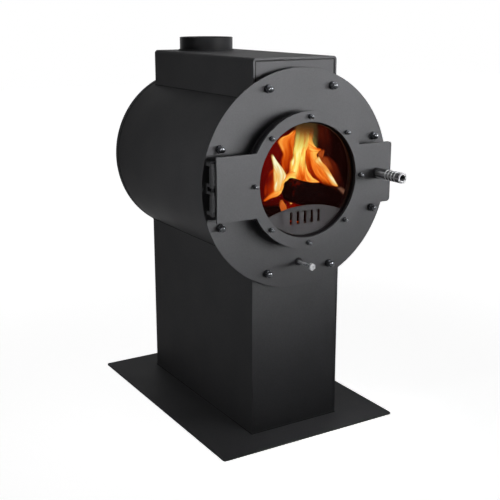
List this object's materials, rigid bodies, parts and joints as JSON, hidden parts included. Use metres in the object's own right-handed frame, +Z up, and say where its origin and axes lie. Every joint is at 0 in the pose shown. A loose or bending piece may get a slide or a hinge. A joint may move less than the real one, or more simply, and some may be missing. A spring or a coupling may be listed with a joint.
{
  "type": "tent wood stove",
  "caption": "Horizontal barrel wood stove on a box pedestal with a bolted round front flange, glazed round door, air rod and a top box with flue spigot.",
  "frame": {"origin": "centre of the floor plate's underside, where the stove meets the floor", "axes": "+Z up, +Y to the rear; the door, its hinge and the handle face -Y, and the hinge is on the -X side"},
  "size_m": [0.4249, 0.618, 0.772],
  "materials": {
    "matt_black_paint": "matt heat-resistant black paint on sheet steel",
    "bright_stainless": "bright turned stainless steel",
    "fire_blackened_steel": "bare steel blackened by heat and soot",
    "cast_grate": "sooty cast iron",
    "ceramic_glass": "clear ceramic glass",
    "glass_fibre_rope": "black glass-fibre rope and flat gasket"
  },
  "bodies": {
    "stove": {"base_plate": "matt_black_paint", "pedestal_wrap": "matt_black_paint", "pedestal_front_panel": "matt_black_paint", "barrel": "matt_black_paint", "barrel_ring": "matt_black_paint", "rear_cap": "matt_black_paint", "flange_gasket": "glass_fibre_rope", "front_flange": "matt_black_paint", "flange_studs": "bright_stainless", "flange_washers": "bright_stainless", "flange_cap_nuts": "bright_stainless", "box_wrap": "matt_black_paint", "box_front_panel": "matt_black_paint", "box_rear_panel": "matt_black_paint", "flue_spigot": "matt_black_paint", "smoke_baffle": "fire_blackened_steel", "baffle_ledges": "fire_blackened_steel", "grate": "cast_grate", "grate_rails": "fire_blackened_steel", "air_shelf": "fire_blackened_steel", "damper_guides": "fire_blackened_steel", "rod_bush": "fire_blackened_steel", "door_collar": "matt_black_paint", "hinge_top_bracket": "matt_black_paint", "hinge_middle_bracket": "matt_black_paint", "hinge_bottom_bracket": "matt_black_paint", "hinge_pin": "fire_blackened_steel", "latch_keeper": "matt_black_paint"},
    "door": {"door_plate": "matt_black_paint", "hinge_upper_sleeve": "matt_black_paint", "hinge_lower_sleeve": "matt_black_paint", "glass_front_seal": "glass_fibre_rope", "door_glass": "ceramic_glass", "glass_retainer": "fire_blackened_steel", "log_guard": "matt_black_paint", "door_rope_seal": "glass_fibre_rope", "door_studs": "bright_stainless", "door_washers": "bright_stainless", "door_cap_nuts": "bright_stainless", "handle_collar": "matt_black_paint"},
    "latch": {"handle_spindle": "bright_stainless", "handle_grip": "bright_stainless", "latch_cam": "fire_blackened_steel", "cam_nut": "bright_stainless"},
    "air_control": {"air_rod": "bright_stainless", "air_rod_head": "bright_stainless", "rod_lock_nut": "bright_stainless", "damper_plate": "fire_blackened_steel"}
  },
  "joints": [
    {"name": "door_swing", "type": "hinge", "parent": "stove", "child": "door", "pos_m": [-0.2, -0.247, 0.518], "axis": [0, 0, -1], "range_deg": [0, 145]},
    {"name": "latch_turn", "type": "hinge", "parent": "door", "child": "latch", "pos_m": [0.165, -0.259, 0.518], "axis": [0, 1, 0], "range_deg": [0, 90]},
    {"name": "air_slide", "type": "slide", "parent": "stove", "child": "air_control", "axis": [0, -1, 0], "range_m": [-0.03, 0.03]}
  ]
}
